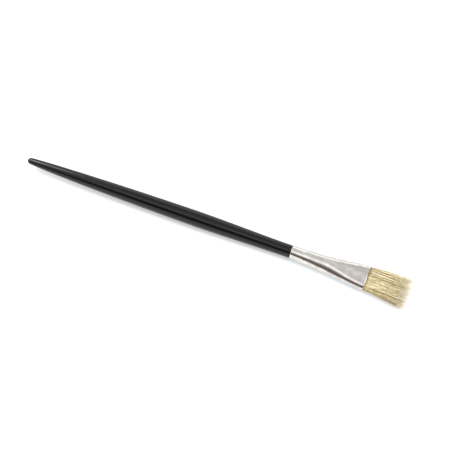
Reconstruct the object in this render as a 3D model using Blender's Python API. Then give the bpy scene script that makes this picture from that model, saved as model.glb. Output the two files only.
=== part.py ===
"""Long-handled flat pastry brush: lacquered handle, seamless ferrule, bristle locks.

World frame, metres.  +X runs along the brush from the tail of the handle to the
bristle tips, +Y runs across the flat width, +Z is the thin direction.  The origin
is under the middle of the brush, level with the lowest point of the handle belly.
"""
import math

import bpy
import bmesh
from mathutils import Vector

MM = 0.001

# ---- overall lengths along the brush -------------------------------------------
LENGTH = 298.0 * MM            # tail of the handle to the longest bristle tips
X_TAIL = -LENGTH / 2
X_SHOULDER = X_TAIL + 209.1 * MM   # handle shoulder, just behind the ferrule
X_RING = X_TAIL + 209.5 * MM       # round end of the ferrule
X_MOUTH = X_TAIL + 265.7 * MM      # flattened mouth of the ferrule
X_TIP = X_TAIL + LENGTH

# ---- handle -----------------------------------------------------------------------
BELLY_RADIUS = 5.85 * MM       # thickest point, which is also what the brush rests on
Z_AXIS = BELLY_RADIUS
BELLY_AT = 137.0 * MM          # distance of the thickest point from the tail
NECK_RADIUS = 4.75 * MM        # at the shoulder
NECK_ROUNDING = 0.35 * MM
TAIL_RADIUS = 2.15 * MM        # where the taper would end if the tail weren't rounded
TAIL_ROUNDING = 2.7 * MM
TAIL_FLAT = 0.10 * MM          # depth of the rounding that is cut off square at the very end
TAIL_SWELL = 0.68              # below 1: the taper swells quickly just behind the tail
BELLY_LEVELLING = 1.6          # above 1: it levels off at the belly
HANDLE_LENGTH = X_SHOULDER - X_TAIL
TENON_RADIUS = 3.60 * MM       # stub that runs inside the ferrule
TENON_LENGTH = 21.0 * MM
TENON_FILLET = 0.12 * MM       # extra radius in the corner with the shoulder
TENON_FILLET_LENGTH = 0.3 * MM
TENON_CHAMFER = 0.7 * MM       # radius lost at the tenon's end
TENON_CHAMFER_LENGTH = 1.0 * MM
HANDLE_SIDES = 48
TAPER_STEPS = 12
NECK_STEPS = 7

# ---- ferrule ------------------------------------------------------------------------
FERRULE_LENGTH = X_MOUTH - X_RING
WALL = 0.42 * MM
NOSE_START = math.radians(55.0)   # where a side's broad shoulder arc meets its tight nose
FLAT_SEGMENTS = 6
SHOULDER_SEGMENTS = 6
NOSE_SEGMENTS = 4
RING_RADIUS = 5.12 * MM        # outside of the round end
MOUTH_HALF_WIDTH = 10.15 * MM
MOUTH_HALF_THICK = 3.40 * MM
# Places and spans below are shares of the ferrule's length, 0 at the round end.
RING_HALF_FLAT = 0.1 * MM      # the strip of flat starts as hardly more than a line
STRIP_HALF_FLAT = 3.4 * MM     # what the strip alone would grow to at the mouth
STRIP_SLOPE = 0.35 * MM        # how much the strip sinks over the whole length
FAN_HALF_FLAT = 3.2 * MM       # what the triangular fan adds to each side of the strip
FAN_SPAN = (0.47, 0.97)        # where the fan opens
PRESS_SPAN = (0.45, 0.90)      # where the tube is pressed thin
SIDE_TAPER = 0.38              # part of the widening that grows evenly
SIDE_FLARE = 0.78              # part that grows faster towards the mouth
SIDE_EASING = SIDE_TAPER + SIDE_FLARE - 1.0   # part taken back just before the mouth
CREASE_PEAK = 0.5              # where the edge beside the flat is sharpest
CREASE_EASED = 0.8             # where it has eased to its angle at the mouth
PEAK_CREASE = 16.6             # degrees
MOUTH_CREASE = 14.0            # degrees
FERRULE_STEPS = 20

# ---- inside the ferrule -------------------------------------------------------------
FIT_GAP = 0.32 * MM            # clearance kept between neighbouring pieces
GLUE_THICKNESS = 0.30 * MM
GLUE_START = 1.6 * MM          # behind the round end's lip
GLUE_LENGTH = 11.0 * MM
ROOT_LENGTH = 13.0 * MM        # bristle roots held inside the mouth
ROOT_SETBACK = 0.3 * MM        # roots stop just inside the mouth plane
RESIN_LENGTH = 15.0 * MM       # setting resin behind the roots

# ---- bristle tuft --------------------------------------------------------------------
HINGE_OFFSET = 3.1 * MM        # bend line of the tuft, beyond the mouth
X_HINGE = X_MOUTH + HINGE_OFFSET
BARREL_RADIUS = 2.62 * MM      # tuft base is rounded about the bend line
TUFT_HALF_WIDTH = 9.25 * MM    # at the bend line
TUFT_TIP_HALF_WIDTH = 11.7 * MM
TUFT_HALF_THICK = 2.50 * MM
TUFT_TIP_HALF_THICK = 3.3 * MM
LOCK_COLUMNS = 5
LOCK_ROWS = 3
LOCK_GAP = 0.34 * MM
EDGE_SHORTFALL = 1.1 * MM      # how much shorter the edge locks are than the middle ones
ROW_SHORTFALL = 0.9 * MM       # how much shorter the outer rows are than the core
LOCK_SIDES = 16
ROW_NAMES = ["lower", "core", "upper"]
COLUMN_NAMES = ["right_edge", "right", "middle", "left", "left_edge"]


def clear_scene():
    for item in list(bpy.data.objects):
        bpy.data.objects.remove(item, do_unlink=True)


def make_material(name, colour, roughness, metallic=0.0, coat=0.0):
    material = bpy.data.materials.new(name)
    material.use_nodes = True
    shader = material.node_tree.nodes["Principled BSDF"]
    shader.inputs["Base Color"].default_value = (*colour, 1.0)
    shader.inputs["Roughness"].default_value = roughness
    shader.inputs["Metallic"].default_value = metallic
    shader.inputs["Coat Weight"].default_value = coat
    material.diffuse_color = (*colour, 1.0)
    return material


def lofted_object(name, rings, material, closed_loop=False, origin=(0.0, 0.0, 0.0)):
    """One closed body through rings of points; capped, or joined end to end as a shell."""
    bm = bmesh.new()
    start = Vector(origin)
    loops = []
    for ring in rings:
        loops.append([bm.verts.new(Vector(point) - start) for point in ring])
    count = len(loops[0])
    pairs = list(zip(loops, loops[1:]))
    if closed_loop:
        pairs.append((loops[-1], loops[0]))
    for first, second in pairs:
        for i in range(count):
            j = (i + 1) % count
            bm.faces.new((first[i], first[j], second[j], second[i]))
    if not closed_loop:
        bm.faces.new(list(reversed(loops[0])))
        bm.faces.new(loops[-1])
    bmesh.ops.recalc_face_normals(bm, faces=bm.faces)
    mesh = bpy.data.meshes.new(name)
    bm.to_mesh(mesh)
    bm.free()
    for polygon in mesh.polygons:
        polygon.use_smooth = len(polygon.vertices) == 4
    mesh.materials.append(material)
    item = bpy.data.objects.new(name, mesh)
    item.location = origin
    bpy.context.collection.objects.link(item)
    return item


def round_ring(x, radius, sides=HANDLE_SIDES):
    ring = []
    for i in range(sides):
        angle = 2 * math.pi * i / sides
        ring.append((x, radius * math.cos(angle), Z_AXIS + radius * math.sin(angle)))
    return ring


def flattened_ring(x, half_flat, half_width, half_thick, crease):
    """Two straight flats; each side is a broad shoulder arc running into a tight nose arc."""
    across = half_width - half_flat
    a, b = math.sin(NOSE_START) - math.sin(crease), 1.0 - math.sin(NOSE_START)
    c, d = math.cos(crease) - math.cos(NOSE_START), math.cos(NOSE_START)
    shoulder = (across * d - b * half_thick) / (a * d - b * c)
    nose = (a * half_thick - c * across) / (a * d - b * c)
    quarter = []
    for i in range(SHOULDER_SEGMENTS):
        angle = crease + (NOSE_START - crease) * i / SHOULDER_SEGMENTS
        y = half_flat + shoulder * (math.sin(angle) - math.sin(crease))
        quarter.append((y, half_thick - shoulder * (math.cos(crease) - math.cos(angle))))
    for i in range(NOSE_SEGMENTS + 1):
        angle = NOSE_START + (math.pi / 2 - NOSE_START) * i / NOSE_SEGMENTS
        quarter.append((half_width - nose * (1.0 - math.sin(angle)), nose * math.cos(angle)))
    side = quarter + [(y, -z) for y, z in quarter[-2:0:-1]]
    points = []
    for sign in (1, -1):
        for i in range(FLAT_SEGMENTS):
            points.append((sign * half_flat * (1 - 2 * i / FLAT_SEGMENTS), sign * half_thick))
        points += [(-sign * y, sign * z) for y, z in side]
    return [(x, y, Z_AXIS + z) for y, z in points]


def ease(start, end, x):
    """Smooth step from 0 at start to 1 at end."""
    t = min(max((x - start) / (end - start), 0.0), 1.0)
    return t * t * (3.0 - 2.0 * t)


def handle_radius(along):
    """Radius of the turned profile at a distance from the tail."""
    if along < BELLY_AT:
        levelling = (1.0 - along / BELLY_AT) ** BELLY_LEVELLING
        fullness = (1.0 - levelling) ** TAIL_SWELL
        radius = TAIL_RADIUS + (BELLY_RADIUS - TAIL_RADIUS) * fullness
    else:
        narrowing = ease(BELLY_AT, HANDLE_LENGTH, along)
        radius = BELLY_RADIUS + (NECK_RADIUS - BELLY_RADIUS) * narrowing
    tail = min(1.0, (along + TAIL_FLAT) / TAIL_ROUNDING)
    neck = max(0.0, along - HANDLE_LENGTH + NECK_ROUNDING)
    rounded_off = NECK_ROUNDING - math.sqrt(max(0.0, NECK_ROUNDING ** 2 - neck ** 2))
    return radius * math.sqrt(1.0 - (1.0 - tail) ** 2) - rounded_off


def ferrule_section(share):
    """Half flat, half width, half thickness and crease at a share of the ferrule's length.

    The tube is round at 0.  A narrow strip of flat runs along it and fans out into a
    triangle; the sides open steadily and ease off at the mouth.  Past PRESS_SPAN the
    two flats are parallel.
    """
    half_flat = RING_HALF_FLAT + (STRIP_HALF_FLAT - RING_HALF_FLAT) * share
    half_flat += FAN_HALF_FLAT * ease(*FAN_SPAN, share)
    widening = SIDE_TAPER * share + SIDE_FLARE * share ** 2 - SIDE_EASING * share ** 8
    half_width = RING_RADIUS + (MOUTH_HALF_WIDTH - RING_RADIUS) * widening
    pressing = ease(*PRESS_SPAN, share)
    strip_height = RING_RADIUS - STRIP_SLOPE * share
    half_thick = strip_height + (MOUTH_HALF_THICK - strip_height) * pressing
    crease = PEAK_CREASE * (1.0 - (1.0 - min(1.0, share / CREASE_PEAK)) ** 2)
    crease += (MOUTH_CREASE - PEAK_CREASE) * ease(CREASE_PEAK, CREASE_EASED, share)
    return half_flat, half_width, half_thick, math.radians(crease)


def inside_ferrule_ring(x, inset):
    """Ring that follows the ferrule's outside at x, moved inwards by inset."""
    half_flat, half_width, half_thick, crease = ferrule_section((x - X_RING) / FERRULE_LENGTH)
    return flattened_ring(x, half_flat, half_width - inset, half_thick - inset, crease)


def build_handle(material):
    straight = HANDLE_LENGTH - NECK_ROUNDING
    past_tail = 3.2 * MM
    stations = [TAIL_ROUNDING * (1.0 - math.cos(math.radians(a))) for a in (0, 20, 40, 60, 80)]
    for i in range(TAPER_STEPS + 1):
        stations.append(past_tail + (BELLY_AT - past_tail) * (i / TAPER_STEPS) ** 1.5)
    for i in range(1, NECK_STEPS + 1):
        stations.append(BELLY_AT + (straight - BELLY_AT) * i / NECK_STEPS)
    stations += [straight + 0.7 * NECK_ROUNDING, HANDLE_LENGTH]
    rings = [round_ring(X_TAIL + along, handle_radius(along)) for along in stations]
    tenon_end = X_SHOULDER + TENON_LENGTH
    rings.append(round_ring(X_SHOULDER, TENON_RADIUS + TENON_FILLET))
    rings.append(round_ring(X_SHOULDER + TENON_FILLET_LENGTH, TENON_RADIUS))
    rings.append(round_ring(tenon_end - TENON_CHAMFER_LENGTH, TENON_RADIUS))
    rings.append(round_ring(tenon_end, TENON_RADIUS - TENON_CHAMFER))
    return lofted_object("handle", rings, material)


def build_ferrule(material):
    stations = [X_RING + FERRULE_LENGTH * i / FERRULE_STEPS for i in range(FERRULE_STEPS + 1)]
    outside = [inside_ferrule_ring(x, 0.0) for x in stations]
    inside = [inside_ferrule_ring(x, WALL) for x in reversed(stations)]
    return lofted_object("ferrule", outside + inside, material, closed_loop=True)


def build_tenon_glue(material):
    """Thin sleeve of set glue in the joint between tenon and ferrule."""
    start = X_RING + GLUE_START
    end = start + GLUE_LENGTH
    inner = TENON_RADIUS + FIT_GAP
    outer = inner + GLUE_THICKNESS
    rings = [round_ring(start, outer), round_ring(end, outer)]
    rings += [round_ring(end, inner), round_ring(start, inner)]
    return lofted_object("tenon_glue_sleeve", rings, material, closed_loop=True)


def build_filling(name, start, end, material):
    """Solid plug that fills the ferrule's inside between two stations."""
    steps = 6
    inset = WALL + FIT_GAP
    rings = []
    for i in range(steps + 1):
        rings.append(inside_ferrule_ring(start + (end - start) * i / steps, inset))
    return lofted_object(name, rings, material)


def rounded_box_ring(x_of_z, y0, y1, z0, z1):
    """Superellipse section between two widths and two heights; x may depend on height."""
    ring = []
    for i in range(LOCK_SIDES):
        angle = 2 * math.pi * (i + 0.5) / LOCK_SIDES
        c, s = math.cos(angle), math.sin(angle)
        y = (y0 + y1) / 2 + (y1 - y0) / 2 * math.copysign(abs(c) ** 0.5, c)
        z = (z0 + z1) / 2 + (z1 - z0) / 2 * math.copysign(abs(s) ** 0.5, s)
        ring.append((x_of_z(z), y, Z_AXIS + z))
    return ring


def lock_limits(row, column, share):
    """Width and height limits of one lock at a share of the way to the tips."""
    half_width = TUFT_HALF_WIDTH + (TUFT_TIP_HALF_WIDTH - TUFT_HALF_WIDTH) * share
    half_thick = TUFT_HALF_THICK + (TUFT_TIP_HALF_THICK - TUFT_HALF_THICK) * share
    y0 = -half_width + 2 * half_width * column / LOCK_COLUMNS
    y1 = -half_width + 2 * half_width * (column + 1) / LOCK_COLUMNS
    z0 = -half_thick + 2 * half_thick * row / LOCK_ROWS
    z1 = -half_thick + 2 * half_thick * (row + 1) / LOCK_ROWS
    gap = LOCK_GAP / 2
    return y0 + gap, y1 - gap, z0 + gap, z1 - gap


def build_lock(row, column, material):
    """One lock of bristles, its base rounded about the bend line, its tip tapered."""
    middle = (LOCK_COLUMNS - 1) / 2
    shortfall = EDGE_SHORTFALL * (abs(column - middle) / middle) ** 2
    shortfall += ROW_SHORTFALL * abs(row - 1)
    length = X_TIP - X_HINGE - shortfall
    rings = []

    def barrel_face(z):
        return X_HINGE - math.sqrt(max(BARREL_RADIUS ** 2 - z ** 2, 0.0))

    rings.append(rounded_box_ring(barrel_face, *lock_limits(row, column, 0.0)))
    for share in (0.06, 0.28, 0.52, 0.76, 0.90):
        x = X_HINGE + length * share
        rings.append(rounded_box_ring(lambda z, x=x: x, *lock_limits(row, column, share)))
    y0, y1, z0, z1 = lock_limits(row, column, 1.0)
    for share, pinch in ((0.97, 0.18), (1.0, 0.42)):
        x = X_HINGE + length * share
        dy, dz = (y1 - y0) / 2 * pinch, (z1 - z0) / 2 * pinch
        rings.append(rounded_box_ring(lambda z, x=x: x, y0 + dy, y1 - dy, z0 + dz, z1 - dz))
    name = "bristles_" + ROW_NAMES[row] + "_" + COLUMN_NAMES[column]
    return lofted_object(name, rings, material, origin=(X_HINGE, 0.0, Z_AXIS))


def main():
    clear_scene()
    lacquer = make_material("black_lacquer", (0.018, 0.018, 0.019), 0.30, coat=0.4)
    nickel = make_material("bright_nickel", (0.76, 0.75, 0.73), 0.20, metallic=1.0)
    glue = make_material("hide_glue", (0.55, 0.36, 0.14), 0.45)
    resin = make_material("setting_resin", (0.24, 0.11, 0.04), 0.35)
    hog = make_material("hog_bristle", (0.78, 0.62, 0.36), 0.60)

    build_handle(lacquer)
    build_ferrule(nickel)
    build_tenon_glue(glue)
    root_end = X_MOUTH - ROOT_SETBACK
    root_start = root_end - ROOT_LENGTH
    resin_end = root_start - FIT_GAP
    build_filling("bristle_roots", root_start, root_end, hog)
    build_filling("setting_resin", resin_end - RESIN_LENGTH, resin_end, resin)
    for row in range(LOCK_ROWS):
        for column in range(LOCK_COLUMNS):
            build_lock(row, column, hog)


main()
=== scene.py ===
"""Visual model of the pastry brush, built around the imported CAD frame.

Row frame, metres: +X from the tail of the handle to the bristle tips, +Y across the
flat width, +Z through the thin direction.
"""

import math
import random

import bpy
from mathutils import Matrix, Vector


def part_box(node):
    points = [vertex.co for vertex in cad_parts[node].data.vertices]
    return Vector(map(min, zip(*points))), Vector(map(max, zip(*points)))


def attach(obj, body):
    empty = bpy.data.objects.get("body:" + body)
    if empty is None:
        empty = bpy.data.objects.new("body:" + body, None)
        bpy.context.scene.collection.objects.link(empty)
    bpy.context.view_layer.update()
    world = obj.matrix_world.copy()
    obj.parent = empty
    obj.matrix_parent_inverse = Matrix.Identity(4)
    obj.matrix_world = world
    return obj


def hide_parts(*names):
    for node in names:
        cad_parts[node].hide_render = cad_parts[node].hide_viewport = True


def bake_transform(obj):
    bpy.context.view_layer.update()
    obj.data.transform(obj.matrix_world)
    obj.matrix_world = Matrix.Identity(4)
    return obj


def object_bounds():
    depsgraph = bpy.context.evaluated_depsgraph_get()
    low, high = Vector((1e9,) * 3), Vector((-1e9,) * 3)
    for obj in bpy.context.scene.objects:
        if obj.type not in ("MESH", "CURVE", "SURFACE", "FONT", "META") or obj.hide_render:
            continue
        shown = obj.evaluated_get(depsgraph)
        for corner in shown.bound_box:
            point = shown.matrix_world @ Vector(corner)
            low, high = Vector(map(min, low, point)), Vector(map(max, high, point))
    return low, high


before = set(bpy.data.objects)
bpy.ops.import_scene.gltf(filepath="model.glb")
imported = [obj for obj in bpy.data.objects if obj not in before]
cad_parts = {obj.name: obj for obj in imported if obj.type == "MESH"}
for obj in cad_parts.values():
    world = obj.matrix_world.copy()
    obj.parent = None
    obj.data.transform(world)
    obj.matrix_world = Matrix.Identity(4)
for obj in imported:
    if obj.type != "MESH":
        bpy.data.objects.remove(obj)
cad_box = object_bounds()

MM = 0.001
ROOT_BODY = "handle_and_ferrule"

handle_low, handle_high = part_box("handle")
ferrule_low, ferrule_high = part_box("ferrule")
AXIS_Z = (ferrule_low.z + ferrule_high.z) / 2
X_TAIL = handle_low.x
X_RING = ferrule_low.x
X_MOUTH = ferrule_high.x
X_TIP = cad_box[1].x
FERRULE_LENGTH = X_MOUTH - X_RING


# ------------------------------------------------------------------ camera and light
CAMERA_AZIMUTH = math.radians(21.9)
CAMERA_ELEVATION = math.radians(60.0)
CAMERA_DISTANCE = 0.7668
CAMERA_LENS = 85.0
TARGET_X = 10.3 * MM            # what the camera looks at, along the brush
TARGET_RISE = 2.15 * MM         # and above the axis, as seen in the picture
PANEL_SIZE = 0.8
PANEL_POWER = 16.0
PANEL_COLOUR = (1.0, 0.985, 0.965)
FLOOR_HALF_SIZE = 3.0
FLOOR_TILT = math.radians(0.50)  # rises towards the head, which stays clear of it
FLOOR_PIVOT = (-0.013, 0.0, -0.1 * MM)


def camera_axes():
    a, e = CAMERA_AZIMUTH, CAMERA_ELEVATION
    back = Vector((math.sin(a) * math.cos(e), -math.cos(a) * math.cos(e), math.sin(e)))
    right = Vector((math.cos(a), math.sin(a), 0.0))
    return right, back.cross(right), back


def make_camera():
    right, up, back = camera_axes()
    target = Vector((TARGET_X, 0.0, AXIS_Z)) + up * TARGET_RISE
    data = bpy.data.cameras.new("camera")
    data.lens = CAMERA_LENS
    data.sensor_width = 36.0
    data.clip_start = 0.01
    data.clip_end = 20.0
    camera = bpy.data.objects.new("camera", data)
    bpy.context.collection.objects.link(camera)
    camera.location = target + back * CAMERA_DISTANCE
    camera.rotation_euler = back.to_track_quat("Z", "Y").to_euler()
    bpy.context.scene.camera = camera


def make_panel(name, place):
    """Square soft light aimed at the middle of the brush."""
    data = bpy.data.lights.new(name, "AREA")
    data.shape = "RECTANGLE"
    data.size, data.size_y = PANEL_SIZE, PANEL_SIZE
    data.energy = PANEL_POWER
    data.color = PANEL_COLOUR
    lamp = bpy.data.objects.new(name, data)
    lamp.location = place
    lamp.rotation_euler = (-Vector(place)).to_track_quat("-Z", "Y").to_euler()
    bpy.context.collection.objects.link(lamp)


# tent round the brush: angle above the far horizon (deg), brightness, warmth of the cloth
TENT = [
    (0, 0.85, 0.0), (8, 0.95, 0.0), (18, 1.75, 0.0), (42, 1.80, 0.0), (49, 0.70, 0.05),
    (55, 0.82, 0.05), (61, 1.06, 0.04), (66, 1.04, 0.04), (75, 0.80, 0.06), (82, 0.88, 0.04),
    (90, 1.10, 0.02), (101, 1.30, 0.02), (108, 1.68, 0.0), (117, 1.68, 0.0), (124, 0.95, 0.05),
    (131, 0.42, 0.22), (137, 0.20, 0.32), (158, 0.20, 0.32), (165, 0.80, 0.05),
    (171, 1.65, 0.0), (180, 1.60, 0.0),
]
TENT_MAX = 2.5
END_CLOTH = 0.85                # plain dimmer cloth closes the two ends of the tent
END_CLOTH_START = 0.34
END_CLOTH_FULL = 0.56


def make_world():
    """A white tent with a bright roof panel and a dim opening on the viewer's side."""
    world = bpy.data.worlds.new("white_tent")
    world.use_nodes = True
    tree = world.node_tree
    nodes, links = tree.nodes, tree.links
    nodes.clear()
    out = nodes.new("ShaderNodeOutputWorld")
    background = nodes.new("ShaderNodeBackground")
    place = nodes.new("ShaderNodeTexCoord")
    split = nodes.new("ShaderNodeSeparateXYZ")
    links.new(place.outputs["Generated"], split.inputs[0])
    angle = nodes.new("ShaderNodeMath")
    angle.operation = "ARCTAN2"
    links.new(split.outputs["Z"], angle.inputs[0])
    links.new(split.outputs["Y"], angle.inputs[1])
    share = nodes.new("ShaderNodeMath")
    share.operation = "DIVIDE"
    share.inputs[1].default_value = math.pi
    links.new(angle.outputs[0], share.inputs[0])
    ramp = nodes.new("ShaderNodeValToRGB")
    stops = ramp.color_ramp.elements
    while len(stops) > 1:
        stops.remove(stops[-1])
    for i, (degrees, level, warmth) in enumerate(TENT):
        stop = stops[0] if i == 0 else stops.new(degrees / 180)
        stop.position = degrees / 180
        level /= TENT_MAX
        stop.color = (level, level * (1 - 0.75 * warmth), level * (1 - warmth), 1.0)
    links.new(share.outputs[0], ramp.inputs[0])
    sideways = nodes.new("ShaderNodeMath")
    sideways.operation = "ABSOLUTE"
    links.new(split.outputs["X"], sideways.inputs[0])
    ends = nodes.new("ShaderNodeMapRange")
    ends.inputs["From Min"].default_value = END_CLOTH_START
    ends.inputs["From Max"].default_value = END_CLOTH_FULL
    links.new(sideways.outputs[0], ends.inputs["Value"])
    cloth = nodes.new("ShaderNodeMix")
    cloth.data_type = "RGBA"
    links.new(ends.outputs["Result"], cloth.inputs[0])
    links.new(ramp.outputs["Color"], cloth.inputs[6])
    end_level = END_CLOTH / TENT_MAX
    cloth.inputs[7].default_value = (end_level, end_level, end_level, 1.0)
    links.new(cloth.outputs[2], background.inputs["Color"])
    background.inputs["Strength"].default_value = TENT_MAX
    plain = nodes.new("ShaderNodeBackground")
    plain.inputs["Color"].default_value = (0.97, 0.975, 0.98, 1.0)
    seen = nodes.new("ShaderNodeLightPath")
    choose = nodes.new("ShaderNodeMixShader")
    links.new(seen.outputs["Is Camera Ray"], choose.inputs[0])
    links.new(background.outputs[0], choose.inputs[1])
    links.new(plain.outputs[0], choose.inputs[2])
    links.new(choose.outputs[0], out.inputs["Surface"])
    bpy.context.scene.world = world


def make_lights():
    make_panel("side_panel_left", (-1.0, 0.25, 1.0))
    make_panel("side_panel_right", (1.0, 0.25, 1.0))


def make_floor():
    size = FLOOR_HALF_SIZE
    mesh = bpy.data.meshes.new("floor")
    mesh.from_pydata(
        [(-size, -size, 0), (size, -size, 0), (size, size, 0), (-size, size, 0)], [], [(0, 1, 2, 3)]
    )
    floor = bpy.data.objects.new("floor", mesh)
    floor.location = FLOOR_PIVOT
    floor.rotation_euler = (0.0, -FLOOR_TILT, 0.0)
    bpy.context.collection.objects.link(floor)
    material, shader = new_material("floor_paper")
    shader.inputs["Base Color"].default_value = (0.60, 0.607, 0.618, 1.0)
    shader.inputs["Emission Color"].default_value = (0.95, 0.975, 1.0, 1.0)
    shader.inputs["Emission Strength"].default_value = 0.40
    shader.inputs["Roughness"].default_value = 0.55
    shader.inputs["Specular IOR Level"].default_value = 0.2
    mesh.materials.append(material)


# ------------------------------------------------------------------ material helpers
def new_material(name):
    material = bpy.data.materials.new(name)
    material.use_nodes = True
    return material, material.node_tree.nodes["Principled BSDF"]


class Nodes:
    """Small helper that adds and links nodes in one material."""

    def __init__(self, material):
        self.tree = material.node_tree
        self.shader = self.tree.nodes["Principled BSDF"]

    def add(self, kind, **settings):
        node = self.tree.nodes.new(kind)
        for key, value in settings.items():
            setattr(node, key, value)
        return node

    def link(self, a, b):
        self.tree.links.new(a, b)

    def position(self, scale):
        """Object coordinates stretched by scale along each axis."""
        place = self.add("ShaderNodeTexCoord")
        mapping = self.add("ShaderNodeMapping")
        mapping.inputs["Scale"].default_value = scale
        self.link(place.outputs["Object"], mapping.inputs["Vector"])
        return mapping.outputs["Vector"]

    def noise(self, vector, scale=1.0, detail=4.0, roughness=0.5, distortion=0.0):
        node = self.add("ShaderNodeTexNoise")
        node.inputs["Scale"].default_value = scale
        node.inputs["Detail"].default_value = detail
        node.inputs["Roughness"].default_value = roughness
        node.inputs["Distortion"].default_value = distortion
        self.link(vector, node.inputs["Vector"])
        return node.outputs["Fac"]

    def remap(self, value, low, high, to_low, to_high):
        node = self.add("ShaderNodeMapRange")
        node.inputs["From Min"].default_value = low
        node.inputs["From Max"].default_value = high
        node.inputs["To Min"].default_value = to_low
        node.inputs["To Max"].default_value = to_high
        self.link(value, node.inputs["Value"])
        return node.outputs["Result"]

    def mix(self, factor, first, second, blend="MIX"):
        node = self.add("ShaderNodeMix", data_type="RGBA", blend_type=blend)
        if isinstance(factor, float):
            node.inputs[0].default_value = factor
        else:
            self.link(factor, node.inputs[0])
        for socket, value in ((node.inputs[6], first), (node.inputs[7], second)):
            if isinstance(value, tuple):
                socket.default_value = (*value, 1.0)
            else:
                self.link(value, socket)
        return node.outputs[2]

    def math(self, operation, first, second):
        node = self.add("ShaderNodeMath", operation=operation)
        for socket, value in ((node.inputs[0], first), (node.inputs[1], second)):
            if isinstance(value, (int, float)):
                socket.default_value = value
            else:
                self.link(value, socket)
        return node.outputs[0]

    def bump(self, height, strength, distance):
        node = self.add("ShaderNodeBump")
        node.inputs["Strength"].default_value = strength
        node.inputs["Distance"].default_value = distance
        self.link(height, node.inputs["Height"])
        self.link(node.outputs["Normal"], self.shader.inputs["Normal"])


# ------------------------------------------------------------------ materials
def lacquer_material():
    """Black lacquer brushed over turned wood: faint lengthwise grain, fine scuffs, dust."""
    material, shader = new_material("black_lacquer")
    n = Nodes(material)
    grain = n.noise(n.position((22.0, 900.0, 900.0)), detail=6.0, roughness=0.62)
    pores = n.noise(n.position((60.0, 2600.0, 2600.0)), detail=3.0, roughness=0.5)
    cloud = n.noise(n.position((70.0, 150.0, 150.0)), detail=3.0)
    grain_share = n.remap(grain, 0.35, 0.70, 0.0, 1.0)
    colour = n.mix(grain_share, (0.0006, 0.0006, 0.0007), (0.0018, 0.0017, 0.0016))
    colour = n.mix(n.remap(pores, 0.66, 0.80, 0.0, 0.35), colour, (0.007, 0.0068, 0.0065))
    n.link(colour, shader.inputs["Base Color"])
    rough = n.math("ADD", n.remap(cloud, 0.3, 0.7, 0.09, 0.13), n.remap(grain, 0.3, 0.7, -0.02, 0.04))
    n.link(rough, shader.inputs["Roughness"])
    shader.inputs["Specular IOR Level"].default_value = 0.34
    height = n.math("ADD", n.math("MULTIPLY", grain, 0.7), n.math("MULTIPLY", pores, 0.3))
    n.bump(height, 0.20, 0.00005)
    return material


def nickel_material():
    """Bright drawn tube: faint lengthwise die lines, cloudy finger smudges, shallow dents."""
    material, shader = new_material("bright_nickel")
    n = Nodes(material)
    smudge = n.noise(n.position((170.0, 230.0, 230.0)), detail=3.0, roughness=0.5, distortion=0.8)
    blotch = n.noise(n.position((210.0, 290.0, 290.0)), detail=3.0, distortion=0.6)
    dents = n.noise(n.position((170.0, 230.0, 230.0)), detail=1.0)
    die_lines = n.noise(n.position((14.0, 3000.0, 3000.0)), detail=2.0, roughness=0.5)
    colour = n.mix(n.remap(smudge, 0.36, 0.64, 0.0, 1.0), (0.65, 0.638, 0.607), (0.53, 0.522, 0.498))
    colour = n.mix(n.remap(blotch, 0.50, 0.66, 0.0, 0.6), colour, (0.52, 0.485, 0.475))
    colour = n.mix(n.remap(blotch, 0.48, 0.34, 0.0, 0.6), colour, (0.60, 0.635, 0.62))
    n.link(colour, shader.inputs["Base Color"])
    shader.inputs["Metallic"].default_value = 1.0
    rough = n.math("ADD", n.remap(smudge, 0.35, 0.7, 0.08, 0.19), n.remap(blotch, 0.4, 0.7, 0.0, 0.06))
    n.link(rough, shader.inputs["Roughness"])
    fine = n.math("ADD", n.math("MULTIPLY", die_lines, 0.05), n.math("MULTIPLY", smudge, 0.15))
    n.bump(n.math("ADD", fine, n.math("MULTIPLY", dents, 0.70)), 0.5, 0.00022)
    return material


def bristle_material():
    """Hog bristle: each hair has its own tone, painted shade at the roots by the mouth, pale flagged tips.
    """
    material, shader = new_material("hog_bristle")
    n = Nodes(material)
    tone = n.add("ShaderNodeAttribute", attribute_name="tone").outputs["Fac"]
    along = n.add("ShaderNodeAttribute", attribute_name="along").outputs["Fac"]
    ramp = n.add("ShaderNodeValToRGB")
    stops = ramp.color_ramp.elements
    stops[0].position, stops[0].color = 0.0, (0.085, 0.050, 0.020, 1.0)
    stops[1].position, stops[1].color = 1.0, (0.87, 0.82, 0.60, 1.0)
    for position, colour in (
        (0.14, (0.19, 0.125, 0.055)), (0.30, (0.37, 0.28, 0.13)), (0.50, (0.58, 0.49, 0.25)),
        (0.75, (0.74, 0.665, 0.41)),
    ):
        stops.new(position).color = (*colour, 1.0)
    n.link(tone, ramp.inputs[0])
    flecks = n.noise(n.position((300.0, 1300.0, 1300.0)), detail=3.0, roughness=0.6)
    colour = n.mix(n.remap(flecks, 0.46, 0.62, 0.0, 0.62), ramp.outputs["Color"], (0.40, 0.285, 0.12))
    colour = n.mix(n.remap(flecks, 0.46, 0.34, 0.0, 0.60), colour, (0.90, 0.86, 0.68))
    # painted shade: hairs darkened where they enter the ferrule's mouth and just past it
    colour = n.mix(n.remap(along, 0.05, 0.14, 0.85, 0.0), colour, (0.22, 0.13, 0.05))
    colour = n.mix(n.remap(along, 0.80, 1.0, 0.0, 0.80), colour, (0.90, 0.85, 0.72))
    n.link(colour, shader.inputs["Base Color"])
    n.link(n.remap(flecks, 0.3, 0.7, 0.42, 0.60), shader.inputs["Roughness"])
    shader.inputs["Specular IOR Level"].default_value = 0.45
    return material


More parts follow.
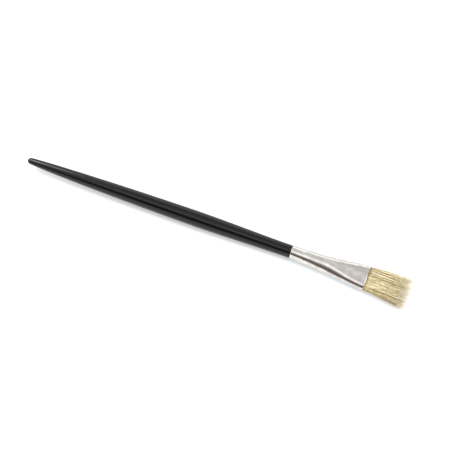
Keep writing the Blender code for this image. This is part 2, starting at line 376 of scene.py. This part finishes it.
def cloudy_material(name, dark, light, roughness, scale):
    """Set glue or resin: cloudy colour and an uneven gloss."""
    material, shader = new_material(name)
    n = Nodes(material)
    cloud = n.noise(n.position((scale, scale, scale)), detail=5.0)
    n.link(n.mix(n.remap(cloud, 0.3, 0.7, 0.0, 1.0), dark, light), shader.inputs["Base Color"])
    n.link(n.remap(cloud, 0.3, 0.7, roughness, roughness + 0.15), shader.inputs["Roughness"])
    n.bump(cloud, 0.3, 0.0002)
    return material


# ------------------------------------------------------------------ shapes
def mesh_object(name, vertices, faces, material):
    mesh = bpy.data.meshes.new(name)
    mesh.from_pydata([tuple(v) for v in vertices], [], faces)
    mesh.update()
    mesh.materials.append(material)
    mesh.polygons.foreach_set("use_smooth", [len(p.vertices) == 4 for p in mesh.polygons])
    item = bpy.data.objects.new(name, mesh)
    bpy.context.collection.objects.link(item)
    return item


def loft(name, rings, material, closed_loop=False):
    """Closed surface through rings of points, capped unless it is a shell."""
    count = len(rings[0])
    vertices = [p for ring in rings for p in ring]
    total = len(rings)
    faces = []
    for k in range(total if closed_loop else total - 1):
        a, b = k * count, ((k + 1) % total) * count
        for i in range(count):
            j = (i + 1) % count
            faces.append((a + i, b + i, b + j, a + j))
    if not closed_loop:
        faces.append(tuple(range(count)))
        last = (total - 1) * count
        faces.append(tuple(last + i for i in reversed(range(count))))
    return mesh_object(name, vertices, faces, material)


# turned handle, millimetres
HANDLE_LENGTH = 209.1
BELLY_RADIUS = 5.85             # thickest point
BELLY_AT = 137.0                # distance of the thickest point from the tail
NECK_RADIUS = 4.75              # at the shoulder
NECK_ROUNDING = 0.35
TAIL_RADIUS = 2.15              # where the taper would end if the tail weren't rounded
TAIL_ROUNDING = 2.7
TAIL_FLAT = 0.015               # depth of the rounding that is cut off square at the end
TAIL_SWELL = 0.68               # below 1: the taper swells quickly just behind the tail
BELLY_LEVELLING = 1.6           # above 1: it levels off at the belly
TENON = [(0.0, 3.6), (0.4, 3.55), (19.9, 3.55), (20.9, 2.9)]   # beyond the shoulder, radius
HANDLE_SIDES = 96


def ease(start, end, x):
    """Smooth step from 0 at start to 1 at end."""
    t = min(max((x - start) / (end - start), 0.0), 1.0)
    return t * t * (3.0 - 2.0 * t)


def handle_radius(along):
    """Radius of the turned profile at a distance from the tail, millimetres."""
    if along < BELLY_AT:
        levelling = (1.0 - along / BELLY_AT) ** BELLY_LEVELLING
        fullness = (1.0 - levelling) ** TAIL_SWELL
        radius = TAIL_RADIUS + (BELLY_RADIUS - TAIL_RADIUS) * fullness
    else:
        narrowing = ease(BELLY_AT, HANDLE_LENGTH, along)
        radius = BELLY_RADIUS + (NECK_RADIUS - BELLY_RADIUS) * narrowing
    tail = min(1.0, (along + TAIL_FLAT) / TAIL_ROUNDING)
    neck = max(0.0, along - HANDLE_LENGTH + NECK_ROUNDING)
    rounded_off = NECK_ROUNDING - math.sqrt(max(0.0, NECK_ROUNDING ** 2 - neck ** 2))
    return radius * math.sqrt(1.0 - (1.0 - tail) ** 2) - rounded_off


def build_handle(material):
    past_tail, straight = 3.0, HANDLE_LENGTH - NECK_ROUNDING
    stations = [TAIL_ROUNDING * (1 - math.cos(math.radians(6 * i))) for i in range(15)]
    stations += [past_tail + (straight - past_tail) * i / 103 for i in range(104)]
    stations += [straight + NECK_ROUNDING * math.sin(math.radians(18 * i)) for i in range(1, 6)]
    outline = [(along, handle_radius(along)) for along in stations]
    outline += [(HANDLE_LENGTH + beyond, radius) for beyond, radius in TENON]
    rings = []
    for along, radius in outline:
        rings.append([
            (X_TAIL + along * MM, radius * MM * math.cos(t), AXIS_Z + radius * MM * math.sin(t))
            for t in (2 * math.pi * i / HANDLE_SIDES for i in range(HANDLE_SIDES))
        ])
    item = loft("handle_turned", rings, material)
    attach(item, ROOT_BODY)
    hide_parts("handle")


# ferrule, millimetres; places and spans are shares of its length, 0 at the round end
FERRULE_WALL = 0.34
LIP = 0.09                      # rounding of the two cut edges
DOME = math.radians(5.0)        # how far the flats swell, as a slope at their edges
MOUTH_CURL = 0.10               # how far the mouth's edge is turned in
MOUTH_CURL_LENGTH = 1.1
NOSE_START = math.radians(55.0)  # where a side's broad shoulder arc meets its tight nose
FERRULE_STEPS = 84
RING_RADIUS = 5.12              # outside of the round end
MOUTH_HALF_WIDTH = 10.15
MOUTH_HALF_THICK = 3.40
RING_HALF_FLAT = 0.1            # the strip of flat starts as hardly more than a line
STRIP_HALF_FLAT = 3.4           # what the strip alone would grow to at the mouth
STRIP_SLOPE = 0.35              # how much the strip sinks over the whole length
FAN_HALF_FLAT = 3.2             # what the triangular fan adds to each side of the strip
FAN_SPAN = (0.47, 0.97)         # where the fan opens
PRESS_SPAN = (0.45, 0.90)       # where the tube is pressed thin
SIDE_TAPER = 0.38               # part of the widening that grows evenly
SIDE_FLARE = 0.78               # part that grows faster towards the mouth
SIDE_EASING = SIDE_TAPER + SIDE_FLARE - 1.0    # part taken back just before the mouth
CREASE_PEAK = 0.5               # where the edge beside the flat is sharpest
CREASE_EASED = 0.8              # where it has eased to its angle at the mouth
PEAK_CREASE = 16.6              # degrees
MOUTH_CREASE = 14.0             # degrees


def ferrule_section(share):
    """Half flat, half width, half thickness (mm) and crease at a share of the length.

    The tube is round at 0.  A narrow strip of flat runs along it and fans out into a
    triangle; the sides open steadily and ease off at the mouth.
    """
    half_flat = RING_HALF_FLAT + (STRIP_HALF_FLAT - RING_HALF_FLAT) * share
    half_flat += FAN_HALF_FLAT * ease(*FAN_SPAN, share)
    widening = SIDE_TAPER * share + SIDE_FLARE * share ** 2 - SIDE_EASING * share ** 8
    half_width = RING_RADIUS + (MOUTH_HALF_WIDTH - RING_RADIUS) * widening
    pressing = ease(*PRESS_SPAN, share)
    strip_height = RING_RADIUS - STRIP_SLOPE * share
    half_thick = strip_height + (MOUTH_HALF_THICK - strip_height) * pressing
    crease = PEAK_CREASE * (1.0 - (1.0 - min(1.0, share / CREASE_PEAK)) ** 2)
    crease += (MOUTH_CREASE - PEAK_CREASE) * ease(CREASE_PEAK, CREASE_EASED, share)
    return half_flat, half_width, half_thick, math.radians(crease)


def ferrule_ring(share, inset, flat_segments=20, shoulder_segments=12, nose_segments=10):
    """Two faintly domed flats; each side is a broad shoulder arc running into a tight nose."""
    half_flat, half_width, half_thick, crease = ferrule_section(share)
    curl = max(0.0, 1.0 - (1.0 - share) * FERRULE_LENGTH / (MOUTH_CURL_LENGTH * MM))
    half_thick -= inset + MOUTH_CURL * curl * curl
    half_width -= inset + MOUTH_CURL * curl * curl
    across = half_width - half_flat
    a, b = math.sin(NOSE_START) - math.sin(crease), 1.0 - math.sin(NOSE_START)
    c, d = math.cos(crease) - math.cos(NOSE_START), math.cos(NOSE_START)
    shoulder = (across * d - b * half_thick) / (a * d - b * c)
    nose = (a * half_thick - c * across) / (a * d - b * c)
    quarter = []
    for i in range(shoulder_segments):
        t = crease + (NOSE_START - crease) * i / shoulder_segments
        quarter.append((
            half_flat + shoulder * (math.sin(t) - math.sin(crease)),
            half_thick - shoulder * (math.cos(crease) - math.cos(t)),
        ))
    for i in range(nose_segments + 1):
        t = NOSE_START + (math.pi / 2 - NOSE_START) * i / nose_segments
        quarter.append((half_width - nose * (1.0 - math.sin(t)), nose * math.cos(t)))
    side = quarter + [(y, -z) for y, z in quarter[-2:0:-1]]
    dome = math.tan(DOME) * half_flat / 2
    side = [(y, z - math.copysign(min(abs(z), 0.5 * dome), z)) for y, z in side]
    points = []
    for sign in (1, -1):
        for i in range(flat_segments):
            u = 1 - 2 * i / flat_segments
            points.append((sign * half_flat * u, sign * (half_thick + dome * (0.5 - u * u))))
        points += [(-sign * y, sign * z) for y, z in side]
    x = X_RING + FERRULE_LENGTH * share
    return [(x, y * MM, AXIS_Z + z * MM) for y, z in points]


def build_ferrule(material):
    lip_share = LIP * MM / FERRULE_LENGTH
    between_lips = (1 - 2 * lip_share) / FERRULE_STEPS
    shares = [lip_share + between_lips * i for i in range(FERRULE_STEPS + 1)]
    shares += [1 - lip_share * k for k in (8, 5, 3, 2)]
    shares.sort()
    outside = [ferrule_ring(0.0, LIP), ferrule_ring(lip_share * 0.3, LIP * 0.3)]
    outside += [ferrule_ring(s, 0.0) for s in shares]
    outside += [ferrule_ring(1 - lip_share * 0.3, LIP * 0.3), ferrule_ring(1.0, LIP)]
    inner = [ferrule_ring(1.0, FERRULE_WALL - LIP)]
    inner += [ferrule_ring(s, FERRULE_WALL) for s in reversed(shares[::4])]
    inner.append(ferrule_ring(0.0, FERRULE_WALL - LIP))
    item = loft("ferrule_drawn", outside + inner, material, closed_loop=True)
    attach(item, ROOT_BODY)
    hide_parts("ferrule")


# ------------------------------------------------------------------ bristles
LOCK_COLUMNS = ["right_edge", "right", "middle", "left", "left_edge"]
LOCK_ROWS = ["lower", "core", "upper"]
HAIRS_PER_LOCK = 150
CLUMP_GRID = (6, 3)             # clumps of hairs in one lock, across and through
HAIR_SIDES = 5
HAIR_STEPS = 8
ROOT_DEPTH = 2.6 * MM           # how far the drawn hairs reach back into the ferrule
TUFT_HALF_WIDTH = 9.25 * MM
TUFT_HALF_THICK = 2.78 * MM
FREE_LENGTH = 30.9 * MM
SPLAY_NEAR = 3.3 * MM           # outward at the tips, -Y side
SPLAY_FAR = 0.4 * MM            # outward at the tips, +Y side
TIP_OVERHANG = 0.6 * MM         # longest hairs, past the CAD tips
CORNER_ROUNDING = 1.05          # of the mouth's slot, as a share of its half thickness
DARK_CLUMP, PALE_CLUMP = 0.40, 0.82            # tones
SHORT_HAIRS = 0.14              # share of hairs that end early
STRAY_HAIRS = 0.2               # share that leave their clump
BROWN_HAIRS, BROWN_HAIRS_ELSEWHERE = 0.26, 0.08
BROWN_FROM, BROWN_TO = -0.6, 0.05              # across the tuft, from -1 to 1
HAIR_RADII = (0.080 * MM, 0.130 * MM)
HAIR_SEED = 31


def root_place(u, v):
    """Place in the mouth's rounded slot for u, v from -1 to 1."""
    y = u * TUFT_HALF_WIDTH
    corner = TUFT_HALF_THICK * CORNER_ROUNDING
    over = max(0.0, abs(y) - (TUFT_HALF_WIDTH - corner)) / corner
    return y, v * TUFT_HALF_THICK * math.sqrt(max(0.0, 1.0 - over * over * 0.97))


def tip_place(y, z):
    """Where a hair rooted at y, z ends, if it follows the tuft's even splay."""
    share = (y / TUFT_HALF_WIDTH + 1) / 2
    splay = -SPLAY_NEAR * (1 - share) + SPLAY_FAR * share
    return y + splay, z * 1.02


def build_lock(row, column, material, rng):
    """One lock of hairs, drawn together into small clumps of their own tone and lean."""
    clumps = []
    across, deep = CLUMP_GRID
    for i in range(across):
        for j in range(deep):
            clumps.append({
                "u": -1 + (2 * i + 1 + rng.uniform(-0.7, 0.7)) / across,
                "v": -1 + (2 * j + 1 + rng.uniform(-0.7, 0.7)) / deep,
                "tone": (DARK_CLUMP if (i + j // 2) % 3 == 0 else PALE_CLUMP) + rng.gauss(0.0, 0.08),
                "reach": rng.gauss(0.0, 1.0), "lift": rng.gauss(0.0, 0.40),
                "sway": rng.gauss(0.0, 1.8 if rng.random() < 0.2 else 0.4),
            })
    vertices, faces, tones, alongs = [], [], [], []
    for _ in range(HAIRS_PER_LOCK):
        cu, cv = rng.uniform(-1, 1), rng.uniform(-1, 1)
        clump = min(clumps, key=lambda c: 4 * (c["u"] - cu) ** 2 + (c["v"] - cv) ** 2)
        u = -1 + 2 * (column + (cu + 1) / 2) / len(LOCK_COLUMNS)
        v = -1 + 2 * (row + (cv + 1) / 2) / len(LOCK_ROWS)
        y0, z0 = root_place(u, v)
        y1, z1 = tip_place(y0, z0)
        pull = rng.uniform(0.75, 1.0)
        gu = -1 + 2 * (column + (clump["u"] + 1) / 2) / len(LOCK_COLUMNS)
        gv = -1 + 2 * (row + (clump["v"] + 1) / 2) / len(LOCK_ROWS)
        gy, gz = tip_place(*root_place(gu, gv))
        stray = 2.6 if rng.random() < STRAY_HAIRS else 1.0
        y0 += (root_place(gu, gv)[0] - y0) * 0.5
        y1 += (gy - y1) * pull + clump["sway"] * MM + rng.gauss(0, 0.30) * stray * MM
        z1 += (gz - z1) * pull * 0.6 + clump["lift"] * MM + rng.gauss(0, 0.24) * stray * MM
        edge_low, edge_high = tip_place(-TUFT_HALF_WIDTH, 0.0)[0], tip_place(TUFT_HALF_WIDTH, 0.0)[0]
        y1 = min(max(y1, edge_low - rng.uniform(0, 0.9) * MM), edge_high + rng.uniform(0, 0.9) * MM)
        length = FREE_LENGTH + (clump["reach"] + rng.gauss(0, 1.3)) * MM
        length += 0.4 * MM * (y0 / TUFT_HALF_WIDTH) - 0.4 * MM * abs(v)
        if rng.random() < SHORT_HAIRS:
            length -= rng.uniform(1.0, 7.0) * MM
        length = min(length, X_TIP + TIP_OVERHANG - X_MOUTH)
        bow_y, bow_z = rng.gauss(0, 0.34) * MM, rng.gauss(0, 0.22) * MM
        radius = rng.uniform(*HAIR_RADII)
        tone = clump["tone"] + rng.gauss(0, 0.20)
        brown_share = BROWN_HAIRS if BROWN_FROM < u < BROWN_TO else BROWN_HAIRS_ELSEWHERE
        brown = rng.uniform(0.30, 0.60) if rng.random() < brown_share else 0.0
        add_hair(
            vertices, faces, (y0, z0), (y1, z1), length, (bow_y, bow_z), radius,
            rng.uniform(0, 2 * math.pi),
        )
        for k in range(HAIR_STEPS + 1):
            t = k / HAIR_STEPS
            sides = HAIR_SIDES if k < HAIR_STEPS else 1
            tones += [min(max(tone - brown * 2.0 * max(0.0, t - 0.25), 0.0), 1.0)] * sides
            alongs += [t] * sides
    place = LOCK_ROWS[row] + "_" + LOCK_COLUMNS[column]
    item = mesh_object("hairs_" + place, vertices, faces, material)
    for label, values in (("tone", tones), ("along", alongs)):
        attribute = item.data.attributes.new(label, "FLOAT", "POINT")
        attribute.data.foreach_set("value", values)
    item.data.polygons.foreach_set("use_smooth", [True] * len(item.data.polygons))
    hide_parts("bristles_" + place)
    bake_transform(item)


def add_hair(vertices, faces, root, tip, length, bow, radius, twist):
    """One tapering tube from inside the mouth to its tip."""
    start = len(vertices)
    x0, x1 = X_MOUTH - ROOT_DEPTH, X_MOUTH + length
    for k in range(HAIR_STEPS + 1):
        t = k / HAIR_STEPS
        x = x0 + (x1 - x0) * t
        free = max(0.0, (x - X_MOUTH) / length)
        ease = free ** 1.15
        arch = math.sin(math.pi * free)
        y = root[0] + (tip[0] - root[0]) * ease + bow[0] * arch
        z = root[1] + (tip[1] - root[1]) * ease + bow[1] * arch
        if k == HAIR_STEPS:
            vertices.append((x, y, AXIS_Z + z))
            break
        r = radius * (1.0 - 0.72 * max(0.0, t - 0.45) / 0.55)
        for i in range(HAIR_SIDES):
            angle = twist + 2 * math.pi * i / HAIR_SIDES
            vertices.append((x, y + r * math.cos(angle), AXIS_Z + z + r * math.sin(angle)))
    for k in range(HAIR_STEPS - 1):
        a = start + k * HAIR_SIDES
        b = a + HAIR_SIDES
        for i in range(HAIR_SIDES):
            j = (i + 1) % HAIR_SIDES
            faces.append((a + i, b + i, b + j, a + j))
    last = start + (HAIR_STEPS - 1) * HAIR_SIDES
    for i in range(HAIR_SIDES):
        faces.append((last + i, start + HAIR_STEPS * HAIR_SIDES, last + (i + 1) % HAIR_SIDES))
    faces.append(tuple(start + i for i in range(HAIR_SIDES)))


def dress_inner_nodes():
    """The pieces sealed inside the ferrule keep their CAD shape and get real materials."""
    glue = cloudy_material("hide_glue", (0.36, 0.20, 0.06), (0.62, 0.42, 0.17), 0.30, 700.0)
    resin = cloudy_material("setting_resin", (0.14, 0.055, 0.02), (0.30, 0.14, 0.05), 0.28, 500.0)
    roots = cloudy_material("root_ends", (0.16, 0.09, 0.035), (0.42, 0.28, 0.12), 0.55, 2400.0)
    for node, material in (("tenon_glue_sleeve", glue), ("setting_resin", resin), ("bristle_roots", roots)):
        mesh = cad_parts[node].data
        mesh.materials.clear()
        mesh.materials.append(material)


make_camera()
make_world()
make_lights()
make_floor()
build_handle(lacquer_material())
build_ferrule(nickel_material())
hog = bristle_material()
hair_rng = random.Random(HAIR_SEED)
for lock_row in range(len(LOCK_ROWS)):
    for lock_column in range(len(LOCK_COLUMNS)):
        build_lock(lock_row, lock_column, hog, hair_rng)
dress_inner_nodes()

scene = bpy.context.scene
scene.view_settings.view_transform = "Standard"
